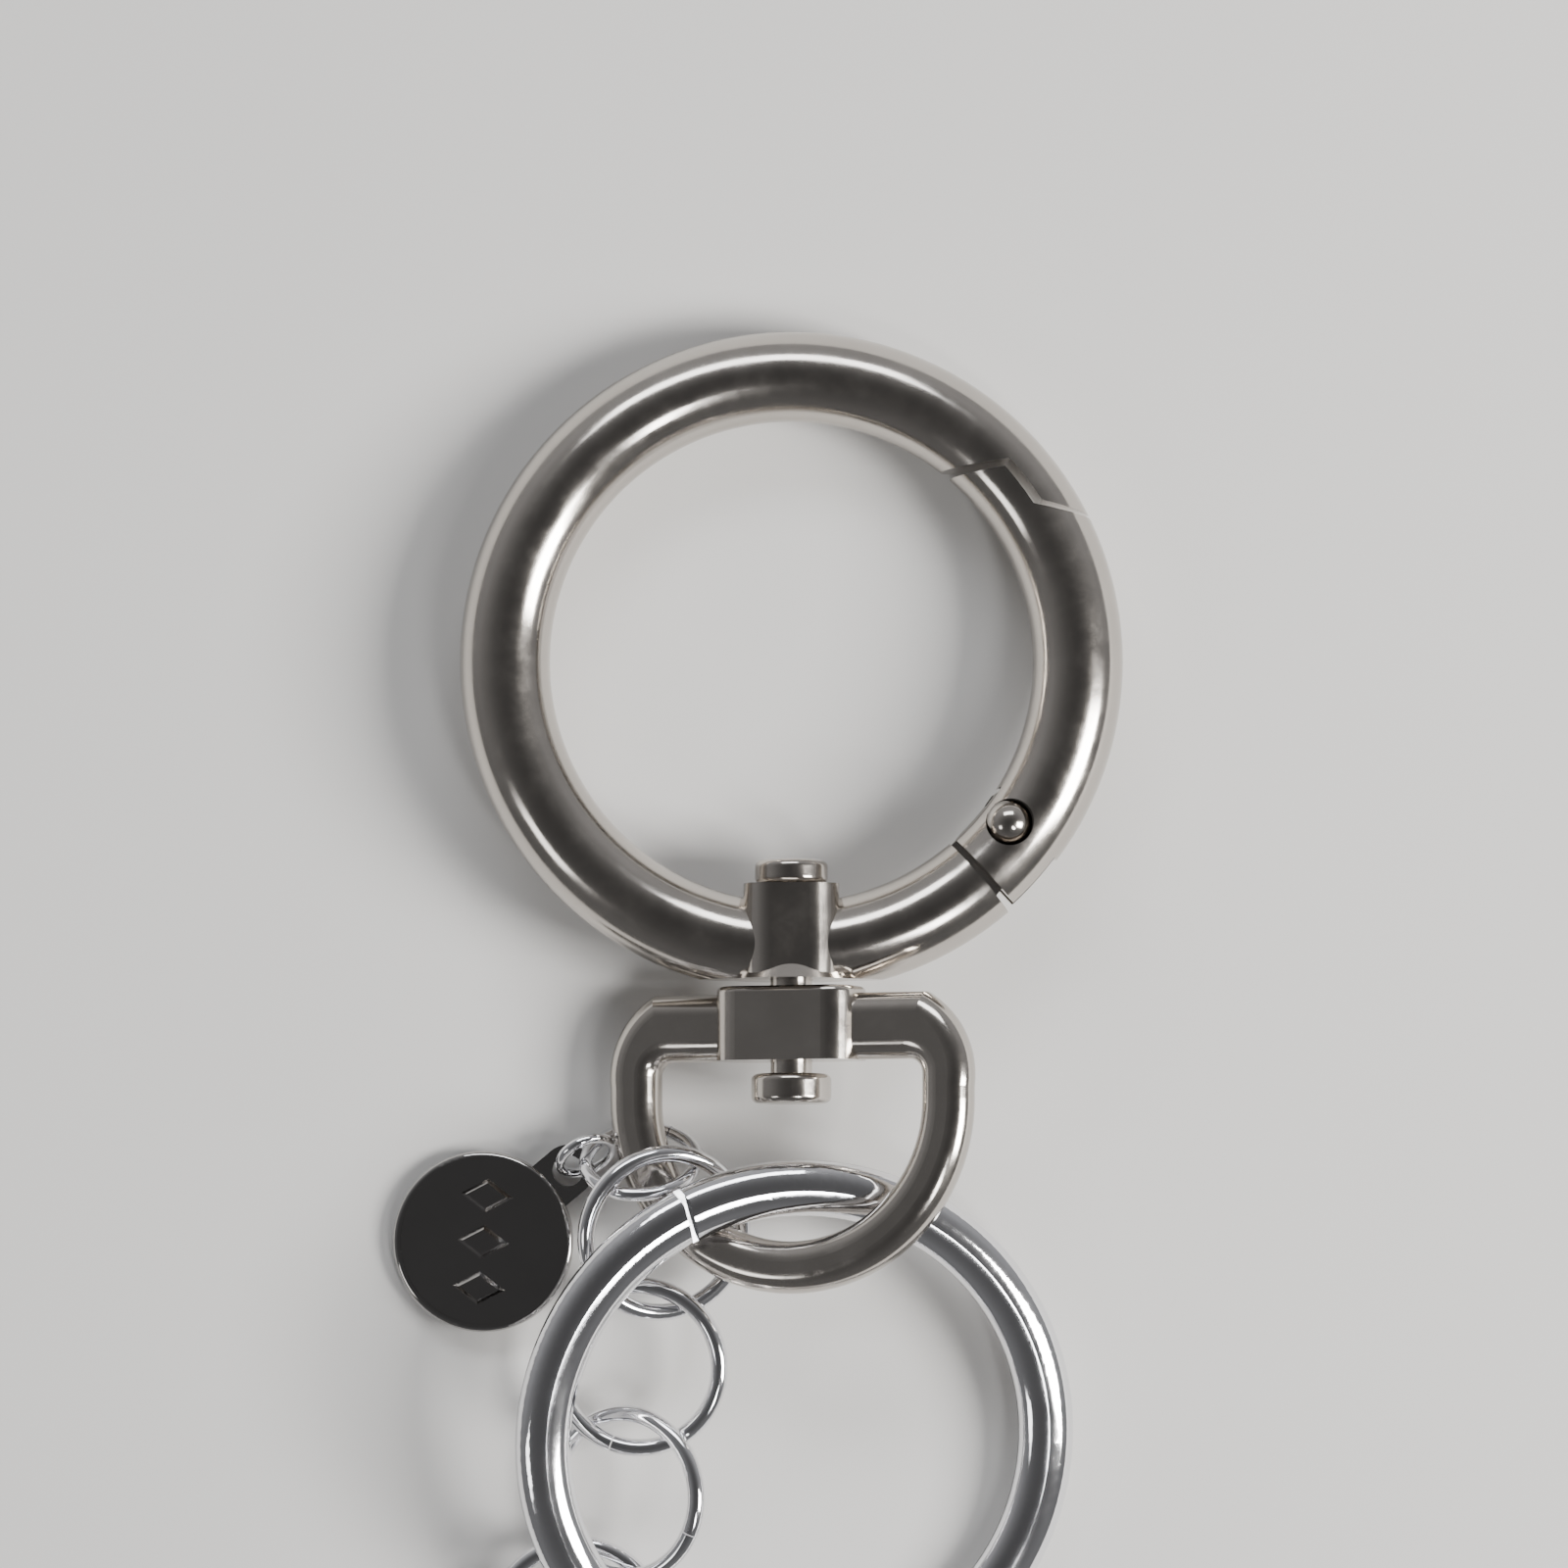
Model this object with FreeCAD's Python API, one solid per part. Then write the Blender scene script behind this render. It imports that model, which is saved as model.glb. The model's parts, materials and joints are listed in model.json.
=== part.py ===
import FreeCAD, Part
import math
import os
from FreeCAD import Matrix, Vector

# Ring clip with a spring gate, a swivelling loop, a split key ring, a short chain of round
# links and a disc tag. Millimetres. Everything is drawn with the clip ring in the XY plane, its
# centre at the origin and the swivel axis along -Y. The swivel end rests on the rings below it,
# so each piece is tipped about X at the end to make the surface it all lies on level.

REST_TILT_DEG = 4.29

# --- Clip ring ---
RING_R = 16.5            # centre of the tube
TUBE_R = 2.6
SWIVEL_FLAT_Y = -18.35   # the ring is faced off here so that the loop can turn under it

# --- Gate ---
HINGE_DEG = -48.5        # radial joint between the ring and the gate's heel
HINGE_GAP_DEG = 0.8      # each side of the joint
PIN_POLAR = (15.65, -37.0)
PIN_R = 0.8
PIN_HOLE_R = 0.85
PIN_HEAD_R = 1.33
PIN_HEAD_Z = 1.5         # underside of the head, above the middle plane
PIN_HEAD_CENTRE_Z = 1.55
HEAD_POCKET_R = 1.36
HEAD_POCKET_Z = 1.45
FORK_HALF = 1.0          # half the slot between the gate's cheeks
TONGUE_HALF = 0.95
TONGUE_R = 1.9           # round end of the ring's tongue, about the pin
FORK_R = 2.15
GATE_STEP_R = 16.5       # outer face of the gate's inner lip
NOSE_STEP_R = 17.0       # inner face of the ring's nose

# --- Gate spring ---
COIL_R = 1.2
COIL_WIRE_R = 0.15
COIL_PITCH = 0.33
COIL_TURNS = 3
SPRING_POCKET_R = 1.5
SPRING_POCKET_HALF = 0.68
LEG_BACK = 4.4
LEG_FRONT = 3.6

# --- Swivel ---
BOSS_HALF_WIDTH = 2.75
BOSS_HALF_HEIGHT = 2.95
BOSS_ROUND = 1.7
BOSS_TOP_Y = -12.9
BOSS_FLARE_R = (2.7, 3.55)   # where the flare starts, and at the flat
BORE_R = 1.25
SHANK_R = 1.2
PIN_TOP_HEAD = (2.1, 1.4)     # radius, thickness
PIN_TAIL_HEAD = (2.3, 1.7)
TAIL_HEAD_TOP_Y = -23.75
HEAD_ROUND = 0.4

# --- Swivel loop, drawn flat and then rolled about the swivel axis ---
LOOP_ROLL_DEG = 20.5
LOOP_CENTRE_Y = -25.3
LOOP_R = 9.55
ROD_HALF_WIDTH = 1.5
ROD_HALF_THICK = 1.24
BAR_TOP_Y = -19.15
BAR_BOTTOM_Y = -23.0
BAR_CORNER_X = 8.3
SHOULDER_X = 10.05       # a point on the outer corner's bend, and how far it lies below the top
SHOULDER_DROP = 1.55
ARM_START_X = 3.0        # inside the barrel
SHOULDER_END_Y = -24.6
WINDOW_CORNER_R = 0.8
ROD_ROUND = 1.17
BARREL_WIDTH = 8.4
BARREL_HALF_THICK = 2.3
BARREL_TOP_Y = -18.75
BARREL_ROUND = 1.6
BARREL_EDGE_ROUND = 0.35

# --- Split ring ---
SPLIT_R = 14.67
SPLIT_HALF_WIDTH = 1.6
SPLIT_HALF_THICK = 1.2
TURN_GAP = 0.06
CROSSOVER_DEG = 22.0     # stretch where one turn climbs into the next
SPLIT_END_DEG = 117.2
SPLIT_END_GAP = 0.4

# --- Chain links, tag ring and jump ring ---
LINK_SIZE = (4.7, 0.5)   # radius of the ring, radius of its wire
TAG_RING_SIZE = (3.2, 0.4)
JUMP_RING_SIZE = (1.6, 0.3)
BUTT_GAP = 0.08          # the cut where each ring's wire closes

# --- Tag ---
TAG_R = 5.25
TAG_THICK = 1.0
TAG_EDGE_ROUND = 0.3
TAG_RIM = 0.45
TAG_DISH = 0.15
EAR_REACH = 6.45
EAR_DEG = 39.6
EAR_R = 1.5
EAR_HOLE_R = 0.9
EAR_THICK = 0.6

# How each loose ring lies: its centre, and the slope of its plane along X and along Y.
LIE = {
    "split_ring": ((0.26, -44.68, -3.01), -0.171, 0.195),
    "chain_link_1": ((-7.31, -32.85, -1.98), -0.345, 0.279),
    "chain_link_2": ((-8.82, -40.51, -3.32), 0.117, 0.118),
    "chain_link_3": ((-9.58, -47.89, -4.22), 0.550, 0.055),
    "chain_link_4": ((-12.39, -55.35, -5.87), -0.012, 0.191),
    "chain_link_5": ((-12.62, -62.63, -6.21), -0.436, -0.095),
    "chain_link_6": ((-7.98, -68.45, -6.74), 0.051, -0.020),
    "chain_link_7": ((-0.70, -70.50, -7.02), -0.015, 0.454),
    "chain_link_8": ((6.86, -70.23, -7.67), -0.105, -0.082),
    "tag_ring": ((-8.68, -28.68, -3.04), 0.058, -1.269),
    "tag_jump_ring": ((-11.87, -28.33, -4.33), -0.695, 1.571),
    "tag_disc": ((-17.85, -33.25, -5.60), 0.070, 0.083),
}
BUTT_DEG = {"chain_link_1": 200, "chain_link_2": 250, "chain_link_3": 333, "chain_link_4": 160,
            "chain_link_5": 40, "chain_link_6": 70, "chain_link_7": 270, "chain_link_8": 20,
            "tag_ring": 60, "tag_jump_ring": 300}

X = Vector(1, 0, 0)
Y = Vector(0, 1, 0)
Z = Vector(0, 0, 1)
ORIGIN = Vector(0, 0, 0)


def polar(radius, degrees, z=0.0):
    a = math.radians(degrees)
    return Vector(radius * math.cos(a), radius * math.sin(a), z)


def arc(radius, start, end):
    middle = (start + end) / 2
    return Part.Arc(polar(radius, start), polar(radius, middle), polar(radius, end)).toShape()


def line(a, b):
    return Part.makeLine(a, b)


def prism(edges, low, high):
    """Extrudes a closed outline in the XY plane between two heights."""
    face = Part.Face(Part.Wire(edges))
    face.translate(Vector(0, 0, low))
    return face.extrude(Vector(0, 0, high - low))


def polygon(points):
    return [line(a, b) for a, b in zip(points, points[1:] + points[:1])]


def cylinder(radius, start, end):
    axis = end - start
    return Part.makeCylinder(radius, axis.Length, start, axis)


def lay(shape, name):
    """Tips a flat shape to its plane's slopes and moves it to its centre."""
    centre, slope_x, slope_y = LIE[name]
    normal = Vector(-slope_x, -slope_y, 1).normalize()
    across = Vector(1, 0, slope_x).normalize()
    along = normal.cross(across)
    m = Matrix(across.x, along.x, normal.x, centre[0],
               across.y, along.y, normal.y, centre[1],
               across.z, along.z, normal.z, centre[2],
               0, 0, 0, 1)
    placed = shape.copy()
    placed.transformShape(m)
    return placed


def oval_face(centre, half_width, half_thick):
    """Oval in the XZ plane, drawn as an inner and an outer half."""
    oval = Part.Ellipse(centre + Vector(half_width, 0, 0), centre + Vector(0, 0, half_thick), centre)
    quarter = math.pi / 2
    halves = [oval.toShape(-quarter, quarter), oval.toShape(quarter, 3 * quarter)]
    return Part.Face(Part.Wire(halves))


def oval_ring(radius, half_width, half_thick, degrees):
    """A ring or part ring of oval section about Z, starting on +X."""
    return oval_face(Vector(radius, 0, 0), half_width, half_thick).revolve(ORIGIN, Z, degrees)


def gate_outline(step_r, outer_cut, inner_cut, hinge):
    """The gate's region in plan: heel, outer cut, step along the tube, and inner lip."""
    far_out, far_in = RING_R + 4.5, RING_R - 4.5
    nose, lip_corner = outer_cut
    tip_corner, tip = inner_cut
    reach = nose + (nose - lip_corner) * 0.6
    reach_deg = math.degrees(math.atan2(reach.y, reach.x))
    start = polar(far_out, hinge)
    end_deg = math.degrees(math.atan2(tip.y, tip.x))
    lip_start = math.degrees(math.atan2(lip_corner.y, lip_corner.x))
    lip_end = math.degrees(math.atan2(tip_corner.y, tip_corner.x))
    inner = tip.Length
    return [line(polar(inner, hinge), start),
            arc(far_out, hinge, reach_deg),
            line(polar(far_out, reach_deg), reach),
            line(reach, lip_corner),
            arc(step_r, lip_start, lip_end),
            line(tip_corner, tip),
            arc(inner, end_deg, hinge)]


def at_hinge(shape):
    """Moves a shape drawn about the origin, with +X along the tube, to the gate's pin."""
    radius, degrees = PIN_POLAR
    placed = shape.copy()
    placed.rotate(ORIGIN, Z, degrees + 90)
    placed.translate(polar(radius, degrees))
    return placed


def block(x0, x1, y0, y1, z0, z1):
    return Part.makeBox(x1 - x0, y1 - y0, z1 - z0, Vector(x0, y0, z0))


def ring_tube():
    return Part.makeTorus(RING_R, TUBE_R)


def make_ring_body():
    """Tube with its nose, the hinge tongue, and the swivel boss faced off at the bottom."""
    step = NOSE_STEP_R
    outer = (polar(RING_R + TUBE_R, 26.2), polar(step, 32.4))
    inner = (polar(step, 42.6), Vector(8.2, 10.85, 0))
    mouth = prism(gate_outline(step, outer, inner, HINGE_DEG - HINGE_GAP_DEG), -5, 5)
    body = ring_tube().cut(mouth)

    strip = block(-6.0, 0, -TONGUE_R, TONGUE_R, -TONGUE_HALF, TONGUE_HALF)
    eye = cylinder(TONGUE_R, Vector(0, 0, -TONGUE_HALF), Vector(0, 0, TONGUE_HALF))
    tongue = at_hinge(strip.fuse(eye)).common(ring_tube())
    body = body.fuse(tongue)

    boss = block(-BOSS_HALF_WIDTH, BOSS_HALF_WIDTH, SWIVEL_FLAT_Y - 0.5, BOSS_TOP_Y,
                 -BOSS_HALF_HEIGHT, BOSS_HALF_HEIGHT)
    boss = boss.makeFillet(BOSS_ROUND, [e for e in boss.Edges if e.BoundBox.YLength > 1])
    narrow, wide = BOSS_FLARE_R
    flare = Part.makeCone(narrow, wide, 1.1, Vector(0, SWIVEL_FLAT_Y + 1.1, 0), -Y)
    body = body.fuse([boss, flare])
    body = body.cut(block(-10, 10, -25, SWIVEL_FLAT_Y, -6, 6))
    body = body.cut(cylinder(BORE_R, Vector(0, -10, 0), Vector(0, -22, 0)))

    pocket = cylinder(SPRING_POCKET_R, Vector(0, 0, -SPRING_POCKET_HALF), Vector(0, 0, SPRING_POCKET_HALF))
    hole = cylinder(PIN_HOLE_R, Vector(0, 0, -2), Vector(0, 0, 2))
    back_groove = block(-LEG_BACK - 0.3, 0, -COIL_R - 0.25, -COIL_R + 0.25, -SPRING_POCKET_HALF, 0)
    front_groove = block(0, 2.5, -2.2, 2.2, 0.15, SPRING_POCKET_HALF)
    return body.cut([at_hinge(s) for s in (pocket, hole, back_groove, front_groove)])


def make_gate():
    """Curved arm of the same tube, forked at the heel, with a lip under the ring's nose."""
    step = GATE_STEP_R
    outer = (polar(RING_R + TUBE_R, 25.4), polar(step, 32.6))
    inner = (polar(step, 42.0), Vector(8.3, 10.35, 0))
    gate = ring_tube().common(prism(gate_outline(step, outer, inner, HINGE_DEG + HINGE_GAP_DEG), -5, 5))
    slot = cylinder(FORK_R, Vector(0, 0, -FORK_HALF), Vector(0, 0, FORK_HALF))
    slot = slot.fuse(block(-6, 0, -5, 5, -FORK_HALF, FORK_HALF))
    hole = cylinder(PIN_HOLE_R, Vector(0, 0, -4), Vector(0, 0, 4))
    upper = cylinder(HEAD_POCKET_R, Vector(0, 0, HEAD_POCKET_Z), Vector(0, 0, 4))
    lower = cylinder(HEAD_POCKET_R, Vector(0, 0, -HEAD_POCKET_Z), Vector(0, 0, -4))
    groove = block(0, LEG_FRONT + 0.3, -COIL_R - 0.25, -COIL_R + 0.25, 0.15, SPRING_POCKET_HALF)
    return gate.cut([at_hinge(s) for s in (slot, hole, upper, lower, groove)])


def make_gate_pin():
    """Headed pin that the gate turns on, peened into a dome at both ends."""
    shank = cylinder(PIN_R, Vector(0, 0, -PIN_HEAD_Z - 0.1), Vector(0, 0, PIN_HEAD_Z + 0.1))
    pin = shank
    for side in (1, -1):
        dome = Part.makeSphere(PIN_HEAD_R, Vector(0, 0, side * PIN_HEAD_CENTRE_Z))
        keep = block(-2, 2, -2, 2, PIN_HEAD_Z, 4) if side > 0 else block(-2, 2, -2, 2, -4, -PIN_HEAD_Z)
        pin = pin.fuse(dome.common(keep))
    return at_hinge(pin.removeSplitter())


def make_gate_spring():
    """Torsion coil round the pin, one leg in the ring and one in the gate.

    Each half turn is half a hoop tipped up by half the pitch.
    """
    rise = COIL_PITCH / 2
    height = COIL_PITCH * COIL_TURNS
    hoop_r = math.hypot(COIL_R, rise / 2)
    tip = math.degrees(math.atan2(rise, 2 * COIL_R))
    halves = []
    for k in range(2 * COIL_TURNS):
        side = 1 if k % 2 == 0 else -1
        section = Part.Face(Part.Wire([Part.Circle(Vector(side * hoop_r, 0, 0), Y, COIL_WIRE_R).toShape()]))
        half = section.revolve(ORIGIN, Z, 180)
        half.rotate(ORIGIN, Y, side * tip)
        half.translate(Vector(0, 0, rise * (k + 0.5)))
        halves.append(half)
    back = cylinder(COIL_WIRE_R, Vector(COIL_R, 0, 0), Vector(COIL_R, -LEG_BACK, 0))
    front = cylinder(COIL_WIRE_R, Vector(COIL_R, 0, height), Vector(COIL_R, LEG_FRONT, height))
    spring = halves[0].fuse(halves[1:] + [back, front])
    spring.rotate(ORIGIN, Z, -90)
    spring.translate(Vector(0, 0, -height / 2))
    return at_hinge(spring)


def rounded_disc(radius, low_y, high_y):
    disc = cylinder(radius, Vector(0, low_y, 0), Vector(0, high_y, 0))
    rims = [e for e in disc.Edges if e.BoundBox.YLength < 1e-3 and e.BoundBox.XLength > radius]
    return disc.makeFillet(HEAD_ROUND, rims)


def make_swivel_pin():
    """Round pin with a head inside the ring and a wider upset head inside the loop."""
    top_r, top_thick = PIN_TOP_HEAD
    tail_r, tail_thick = PIN_TAIL_HEAD
    top = rounded_disc(top_r, BOSS_TOP_Y + 0.02, BOSS_TOP_Y + 0.02 + top_thick)
    tail = rounded_disc(tail_r, TAIL_HEAD_TOP_Y - tail_thick, TAIL_HEAD_TOP_Y)
    shank = cylinder(SHANK_R, Vector(0, BOSS_TOP_Y + 0.5, 0), Vector(0, TAIL_HEAD_TOP_Y - 0.5, 0))
    return top.fuse([shank, tail])


def make_swivel_loop():
    """Barrel, flat bar and bent bow, the bar and bow rounded alike all along their edges."""
    window_x = LOOP_R - ROD_HALF_WIDTH
    outer_x = LOOP_R + ROD_HALF_WIDTH
    c = WINDOW_CORNER_R
    k = c * (1 - math.sqrt(0.5))
    centre = Vector(0, LOOP_CENTRE_Y, 0)
    start_top = Vector(ARM_START_X, BAR_TOP_Y, 0)
    start_low = Vector(ARM_START_X, BAR_BOTTOM_Y, 0)
    top = Vector(BAR_CORNER_X, BAR_TOP_Y, 0)
    shoulder = Vector(SHOULDER_X, BAR_TOP_Y - SHOULDER_DROP, 0)
    foot = Vector(outer_x, SHOULDER_END_Y, 0)
    corner_low = Vector(window_x, BAR_BOTTOM_Y - c, 0)
    corner_mid = Vector(window_x - k, BAR_BOTTOM_Y - k, 0)
    corner_top = Vector(window_x - c, BAR_BOTTOM_Y, 0)
    bow_out = [centre + polar(outer_x, a) for a in (0, -45, -90)]
    bow_in = [centre + polar(window_x, a) for a in (-90, -45, 0)]
    outline = [line(start_top, top), Part.Arc(top, shoulder, foot).toShape(),
               line(foot, bow_out[0]), Part.Arc(*bow_out).toShape(),
               line(bow_out[2], bow_in[0]), Part.Arc(*bow_in).toShape(),
               line(bow_in[2], corner_low), Part.Arc(corner_low, corner_mid, corner_top).toShape(),
               line(corner_top, start_low), line(start_low, start_top)]
    arm = prism(outline, -ROD_HALF_THICK, ROD_HALF_THICK)
    cut_ends = (0.0, ARM_START_X)
    rims = [e for e in arm.Edges if e.BoundBox.ZLength < 1e-6
            and not (e.BoundBox.XLength < 1e-6 and round(e.BoundBox.XMin, 4) in cut_ends)]
    arm = arm.makeFillet(ROD_ROUND, rims)

    barrel = block(-BARREL_WIDTH / 2, BARREL_WIDTH / 2, BAR_BOTTOM_Y, BARREL_TOP_Y,
                   -BARREL_HALF_THICK, BARREL_HALF_THICK)
    barrel = barrel.makeFillet(BARREL_ROUND, [e for e in barrel.Edges if e.BoundBox.YLength > 1])
    ends = [e for e in barrel.Edges if e.BoundBox.YLength < 1e-6 and e.BoundBox.YMin > BARREL_TOP_Y - 0.1]
    barrel = barrel.makeFillet(BARREL_EDGE_ROUND, ends)
    loop = barrel.fuse(arm).fuse(arm.mirror(ORIGIN, X))
    loop = loop.cut(cylinder(BORE_R, Vector(0, -15, 0), Vector(0, -25, 0)))
    loop.rotate(ORIGIN, Y, -LOOP_ROLL_DEG)
    return loop


def make_split_ring():
    """Two turns of half-round wire, parted by a fine gap except where one climbs into the other."""
    ring = oval_ring(SPLIT_R, SPLIT_HALF_WIDTH, SPLIT_HALF_THICK, 360)
    reach = SPLIT_HALF_WIDTH + 1
    gap = Part.makeCylinder(SPLIT_R + reach, TURN_GAP, Vector(0, 0, -TURN_GAP / 2), Z, 360 - CROSSOVER_DEG)
    gap = gap.cut(Part.makeCylinder(SPLIT_R - reach, 4, Vector(0, 0, -2)))
    gap.rotate(ORIGIN, Z, SPLIT_END_DEG)
    bent = [polar(SPLIT_R + 2.2, SPLIT_END_DEG + 1.2), polar(SPLIT_R + 0.9, SPLIT_END_DEG),
            polar(SPLIT_R - 2.2, SPLIT_END_DEG + 2.6)]
    side = polar(SPLIT_END_GAP, SPLIT_END_DEG - 90)
    end_cut = prism(polygon(bent + [p + side for p in reversed(bent)]), 0, 3)
    under = end_cut.mirror(ORIGIN, Z)
    under.rotate(ORIGIN, Z, -CROSSOVER_DEG + 2)
    return lay(ring.cut([gap, end_cut, under]), "split_ring")


def open_ring(radius, wire, butt_deg):
    """Ring of round wire with the fine cut where its ends meet."""
    slit = block(0, radius + 2 * wire, -BUTT_GAP / 2, BUTT_GAP / 2, -2 * wire, 2 * wire)
    slit.rotate(ORIGIN, Z, butt_deg)
    return Part.makeTorus(radius, wire).cut(slit)


def make_tag_disc():
    """Round tag, dished inside a thin rim, with three raised lozenges and a drilled ear."""
    half = TAG_THICK / 2
    disc = cylinder(TAG_R, Vector(0, 0, -half), Vector(0, 0, half))
    disc = disc.makeFillet(TAG_EDGE_ROUND, [e for e in disc.Edges if e.BoundBox.ZLength < 1e-6])
    disc = disc.cut(cylinder(TAG_R - TAG_RIM, Vector(0, 0, half - TAG_DISH), Vector(0, 0, 2)))
    ear = cylinder(EAR_R, Vector(EAR_REACH, 0, -EAR_THICK / 2), Vector(EAR_REACH, 0, EAR_THICK / 2))
    neck = block(TAG_R - 0.9, EAR_REACH, -EAR_R, EAR_R, -EAR_THICK / 2, EAR_THICK / 2)
    tag = disc.fuse([ear, neck])
    for step in (-1, 0, 1):
        middle = Vector(step * 1.9, step * 1.9, 0)
        corners = [middle + v for v in (Vector(-1.1, 1.1, 0), Vector(0.7, 0.7, 0),
                                        Vector(1.1, -1.1, 0), Vector(-0.7, -0.7, 0))]
        lozenge = prism(polygon(corners), half - TAG_DISH - 0.3, half + 0.05)
        top = [e for e in lozenge.Edges if e.BoundBox.ZMin > half]
        tag = tag.fuse(lozenge.makeChamfer(0.22, top))
    tag = tag.cut(cylinder(EAR_HOLE_R, Vector(EAR_REACH, 0, -2), Vector(EAR_REACH, 0, 2)))
    tag.rotate(ORIGIN, Z, EAR_DEG)
    return lay(tag, "tag_disc")


def export(name, shape):
    solid = shape.Solids[0]
    solid.rotate(ORIGIN, X, -REST_TILT_DEG)
    solid.exportStep(f"parts/{name}.step")


def main():
    os.makedirs("parts", exist_ok=True)
    export("ring_body", make_ring_body())
    export("gate", make_gate())
    export("gate_pin", make_gate_pin())
    export("gate_spring", make_gate_spring())
    export("swivel_pin", make_swivel_pin())
    export("swivel_loop", make_swivel_loop())
    export("split_ring", make_split_ring())
    export("tag_disc", make_tag_disc())
    sizes = {"tag_ring": TAG_RING_SIZE, "tag_jump_ring": JUMP_RING_SIZE}
    for name, degrees in BUTT_DEG.items():
        radius, wire = sizes.get(name, LINK_SIZE)
        export(name, lay(open_ring(radius, wire, degrees), name))


main()
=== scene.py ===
import json

import bmesh
import bpy
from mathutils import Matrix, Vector


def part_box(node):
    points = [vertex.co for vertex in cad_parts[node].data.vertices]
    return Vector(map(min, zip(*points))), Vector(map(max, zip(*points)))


# Looks of a ring clip, split key ring, chain and tag, lying on a pale table.
# Metres throughout: +Y runs from the split ring to the clip ring, +Z is up, and
# the origin is the middle of the clip ring.

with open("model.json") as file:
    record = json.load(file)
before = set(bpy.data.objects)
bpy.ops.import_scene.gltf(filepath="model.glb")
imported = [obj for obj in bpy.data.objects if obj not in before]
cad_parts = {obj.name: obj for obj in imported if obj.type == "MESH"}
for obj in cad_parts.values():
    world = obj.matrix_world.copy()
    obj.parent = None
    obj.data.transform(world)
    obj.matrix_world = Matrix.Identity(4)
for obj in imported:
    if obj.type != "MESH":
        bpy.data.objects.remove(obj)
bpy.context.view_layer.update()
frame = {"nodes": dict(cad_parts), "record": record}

# --- Camera, straight above ---
CAMERA_HEIGHT = 0.45
SENSOR_MM = 36.0
FIELD_WIDTH = 0.0903     # width in view at the clip ring's height
VIEW_CENTRE = (-0.00042, -0.00706)
CLIP_NEAR = 0.01
CLIP_FAR = 10.0

# --- Table ---
TABLE_SIZE = 3.0
TABLE_COLOUR = (0.66, 0.65, 0.635)
TABLE_ROUGHNESS = 0.85
TABLE_CORNERS = ((-1, -1), (1, -1), (1, 1), (-1, 1))

# --- Room, as the metal reflects it ---
ROOM_DARK = (0.075, 0.074, 0.075)
ROOM_LIGHT = (0.42, 0.42, 0.43)

# --- Lights: place, the point it faces, width and height, power, colour ---
WHITE = (1, 1, 1)
LIGHTS = {
    "window": ((0.46, -0.10, 0.36), (0, -0.01, 0), (0.20, 0.28), 7.0, (1.0, 0.985, 0.96)),
    "sky": ((-0.05, 0.50, 0.42), (0, -0.01, 0), (0.50, 0.16), 2.0, (0.95, 0.97, 1.0)),
    "fill": ((-0.45, -0.25, 0.40), (0, -0.02, 0), (0.15, 0.15), 0.3, WHITE),
    "high": ((0.20, -0.27, 0.50), (0, -0.04, 0), (0.07, 0.16), 0.7, WHITE),
}

# --- Metals: colour, roughness, scratch depth, grime depth ---
METALS = {
    "nickel": ((0.54, 0.505, 0.465), 0.15, 0.030, 0.30),
    "chrome": ((0.86, 0.86, 0.88), 0.08, 0.020, 0.12),
    "spring_steel": ((0.42, 0.42, 0.43), 0.30, 0.050, 0.5),
    "tag_metal": ((0.42, 0.41, 0.40), 0.07, 0.015, 0.3),
}

# --- Surface detail: a noise scale is about its number of features per metre ---
TARNISH_SCALE = 220.0
TARNISH_DARKENING = 0.22
SMEAR_SCALE = 420.0
SMOOTHEST, ROUGHEST = 0.7, 1.4       # of a metal's own roughness
SCRATCH_TURN = (0.2, 0.3, 0.7)
SCRATCH_SCALE = (900.0, 9000.0, 2500.0)
SCRATCH_HEIGHT = 0.00002
RIPPLE_SCALE = 650.0
RIPPLE_STRENGTH = 0.10
RIPPLE_HEIGHT = 0.00004


def node(tree, kind, **inputs):
    made = tree.nodes.new(kind)
    for key, value in inputs.items():
        made.inputs[key.replace("_", " ")].default_value = value
    return made


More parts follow.
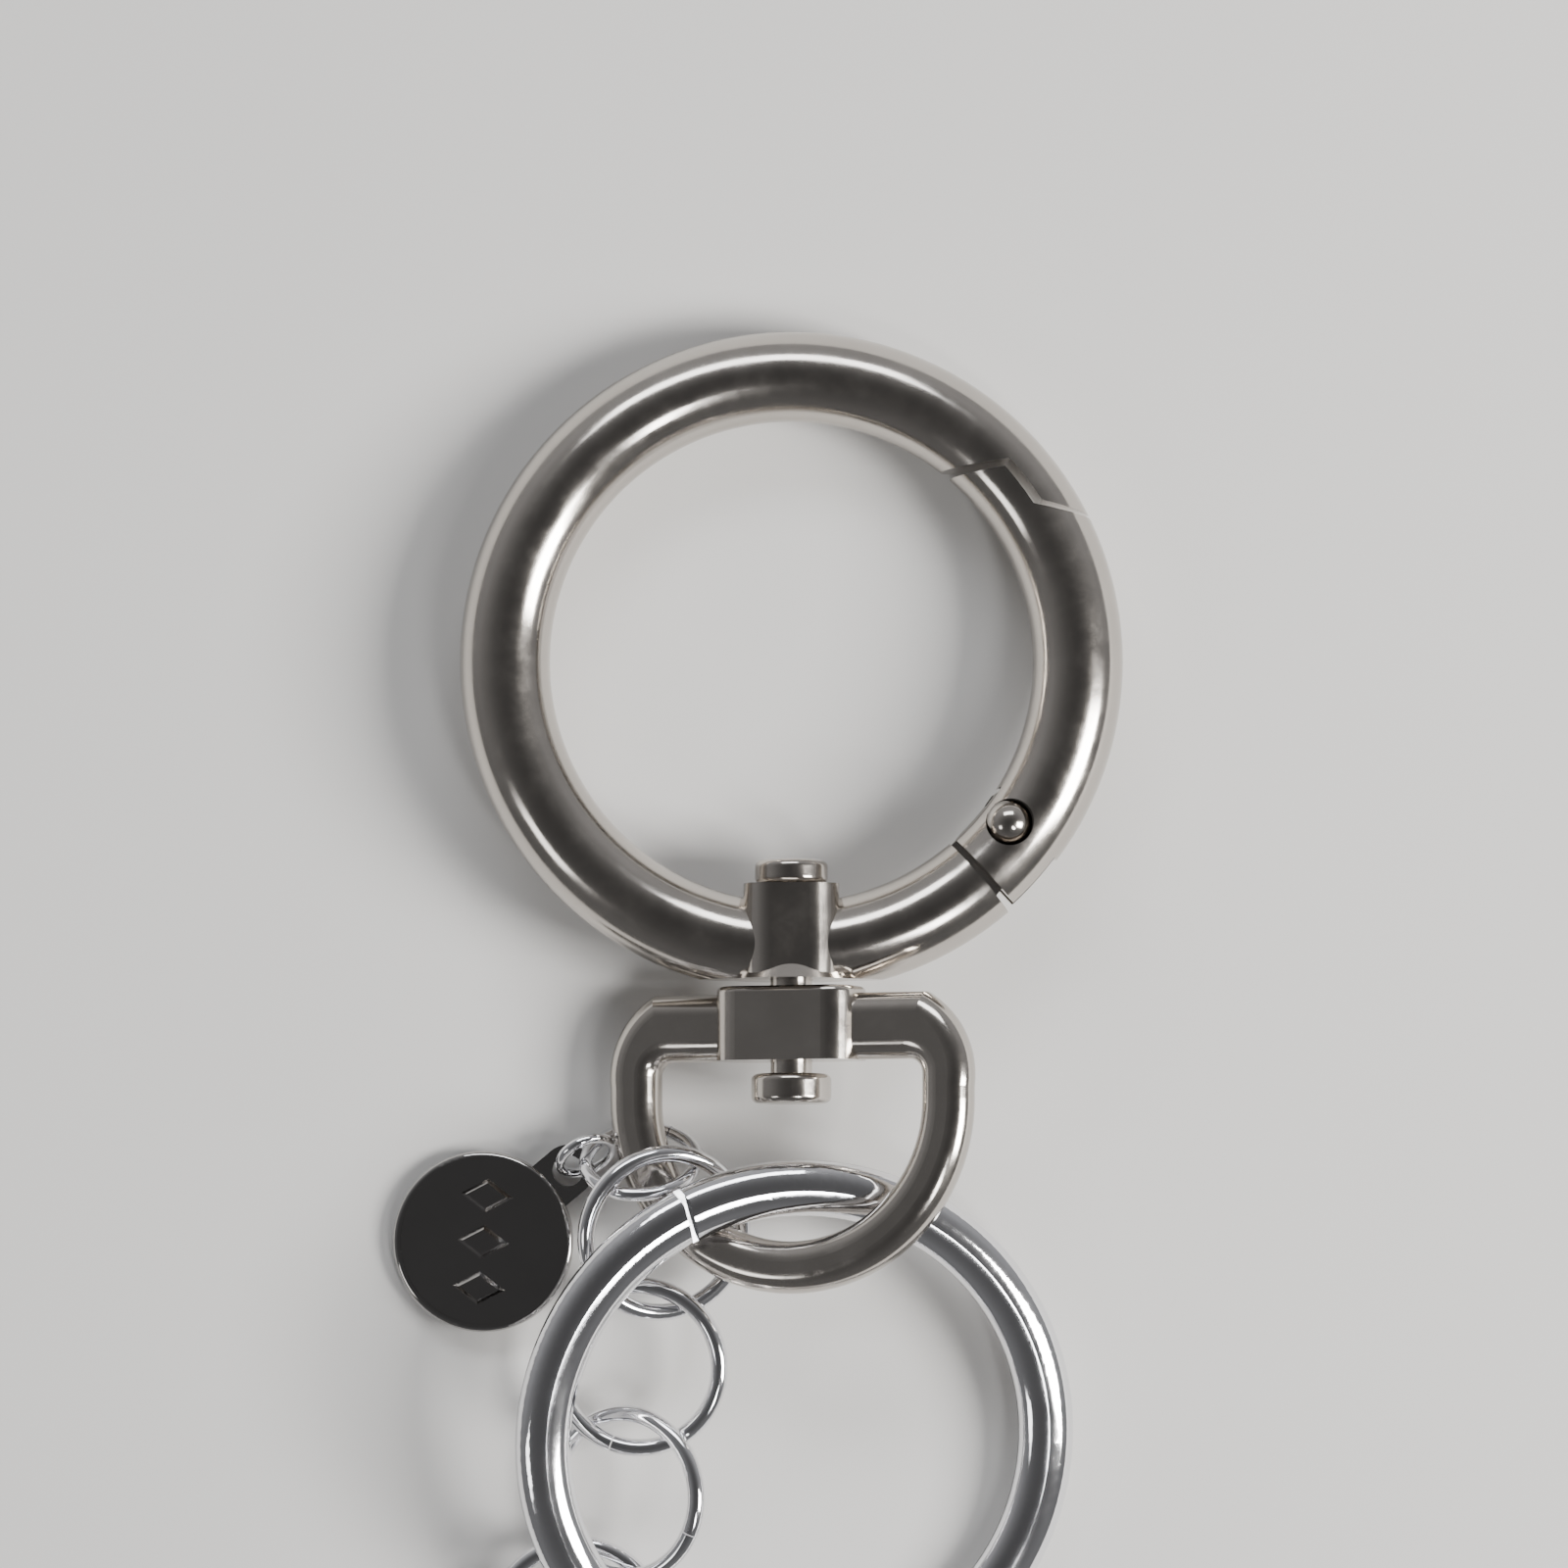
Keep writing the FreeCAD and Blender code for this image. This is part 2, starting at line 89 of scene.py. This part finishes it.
def make_metal(name, colour, roughness, scratch, grime):
    """Plated metal: cloudy tarnish, uneven polish, fine scratches and a faint ripple."""
    mat = bpy.data.materials.new(name)
    mat.use_nodes = True
    tree = mat.node_tree
    tree.nodes.clear()
    link = tree.links.new
    out = tree.nodes.new("ShaderNodeOutputMaterial")
    shader = node(tree, "ShaderNodeBsdfPrincipled", Metallic=1.0, IOR=1.5)
    link(shader.outputs["BSDF"], out.inputs["Surface"])
    where = tree.nodes.new("ShaderNodeTexCoord").outputs["Object"]

    cloud = node(tree, "ShaderNodeTexNoise", Scale=TARNISH_SCALE, Detail=5.0, Roughness=0.6)
    link(where, cloud.inputs["Vector"])
    tint = tree.nodes.new("ShaderNodeValToRGB")
    tint.color_ramp.elements[0].position = 0.35
    tint.color_ramp.elements[1].position = 0.65
    dull = [c * (1 - TARNISH_DARKENING * grime) for c in colour]
    tint.color_ramp.elements[0].color = (*dull, 1)
    tint.color_ramp.elements[1].color = (*colour, 1)
    link(cloud.outputs["Fac"], tint.inputs["Fac"])
    link(tint.outputs["Color"], shader.inputs["Base Color"])

    smear = node(tree, "ShaderNodeTexNoise", Scale=SMEAR_SCALE, Detail=6.0, Roughness=0.7)
    link(where, smear.inputs["Vector"])
    polish = node(tree, "ShaderNodeMapRange", From_Min=0.3, From_Max=0.7,
                  To_Min=roughness * SMOOTHEST, To_Max=roughness * ROUGHEST)
    link(smear.outputs["Fac"], polish.inputs["Value"])
    link(polish.outputs["Result"], shader.inputs["Roughness"])

    stretch = node(tree, "ShaderNodeMapping", Rotation=SCRATCH_TURN, Scale=SCRATCH_SCALE)
    link(where, stretch.inputs["Vector"])
    scratches = node(tree, "ShaderNodeTexNoise", Scale=1.0, Detail=3.0, Roughness=0.5)
    link(stretch.outputs["Vector"], scratches.inputs["Vector"])
    ripple = node(tree, "ShaderNodeTexNoise", Scale=RIPPLE_SCALE, Detail=2.0, Roughness=0.5)
    link(where, ripple.inputs["Vector"])
    fine = node(tree, "ShaderNodeBump", Strength=scratch, Distance=SCRATCH_HEIGHT)
    link(scratches.outputs["Fac"], fine.inputs["Height"])
    broad = node(tree, "ShaderNodeBump", Strength=RIPPLE_STRENGTH, Distance=RIPPLE_HEIGHT)
    link(ripple.outputs["Fac"], broad.inputs["Height"])
    link(fine.outputs["Normal"], broad.inputs["Normal"])
    link(broad.outputs["Normal"], shader.inputs["Normal"])
    return mat


def dress_pieces():
    metals = {name: make_metal(name, *values) for name, values in METALS.items()}
    slot_of = {s["node"]: s["material_slot"] for s in frame["record"]["subparts"]}
    for name, obj in frame["nodes"].items():
        obj.data.materials.clear()
        obj.data.materials.append(metals[slot_of[name]])


def make_table():
    lowest = min(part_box(name)[0].z for name in frame["nodes"])
    mesh = bpy.data.meshes.new("table")
    bm = bmesh.new()
    half = TABLE_SIZE / 2
    corners = [bm.verts.new((x * half, y * half, lowest)) for x, y in TABLE_CORNERS]
    bm.faces.new(corners)
    bm.to_mesh(mesh)
    bm.free()
    table = bpy.data.objects.new("table", mesh)
    bpy.context.scene.collection.objects.link(table)
    mat = bpy.data.materials.new("table")
    mat.use_nodes = True
    shader = mat.node_tree.nodes["Principled BSDF"]
    shader.inputs["Roughness"].default_value = TABLE_ROUGHNESS
    shader.inputs["Base Color"].default_value = (*TABLE_COLOUR, 1)
    mesh.materials.append(mat)


def area_light(name, place, aim, size, power, colour):
    data = bpy.data.lights.new(name, "AREA")
    data.shape = "RECTANGLE"
    data.size, data.size_y = size
    data.energy = power
    data.color = colour
    light = bpy.data.objects.new(name, data)
    light.location = place
    facing = Vector(aim) - Vector(place)
    light.rotation_euler = facing.to_track_quat("-Z", "Y").to_euler()
    bpy.context.scene.collection.objects.link(light)


def make_room():
    """Dim room: dark overhead and towards -Y, lighter towards +Y and the horizon."""
    room = bpy.data.worlds.new("room")
    room.use_nodes = True
    tree = room.node_tree
    link = tree.links.new
    where = tree.nodes.new("ShaderNodeTexCoord").outputs["Generated"]
    axes = tree.nodes.new("ShaderNodeSeparateXYZ")
    link(where, axes.inputs["Vector"])
    height = node(tree, "ShaderNodeMapRange", From_Min=0.35, From_Max=1.0, To_Min=1.0, To_Max=0.0)
    link(axes.outputs["Z"], height.inputs["Value"])
    far = node(tree, "ShaderNodeMapRange", From_Min=-0.4, From_Max=0.8, To_Min=0.25, To_Max=1.0)
    link(axes.outputs["Y"], far.inputs["Value"])
    both = tree.nodes.new("ShaderNodeMath")
    both.operation = "MULTIPLY"
    link(height.outputs["Result"], both.inputs[0])
    link(far.outputs["Result"], both.inputs[1])
    ramp = tree.nodes.new("ShaderNodeValToRGB")
    ramp.color_ramp.elements[0].color = (*ROOM_DARK, 1)
    ramp.color_ramp.elements[1].color = (*ROOM_LIGHT, 1)
    link(both.outputs["Value"], ramp.inputs["Fac"])
    link(ramp.outputs["Color"], tree.nodes["Background"].inputs["Color"])
    bpy.context.scene.world = room


def make_camera():
    data = bpy.data.cameras.new("camera")
    data.sensor_width = SENSOR_MM
    data.lens = SENSOR_MM * CAMERA_HEIGHT / FIELD_WIDTH
    data.clip_start = CLIP_NEAR
    data.clip_end = CLIP_FAR
    camera = bpy.data.objects.new("camera", data)
    camera.location = (*VIEW_CENTRE, CAMERA_HEIGHT)
    bpy.context.scene.collection.objects.link(camera)
    bpy.context.scene.camera = camera


dress_pieces()
make_table()
for name, settings in LIGHTS.items():
    area_light(name, *settings)
make_room()
make_camera()

bpy.context.view_layer.update()
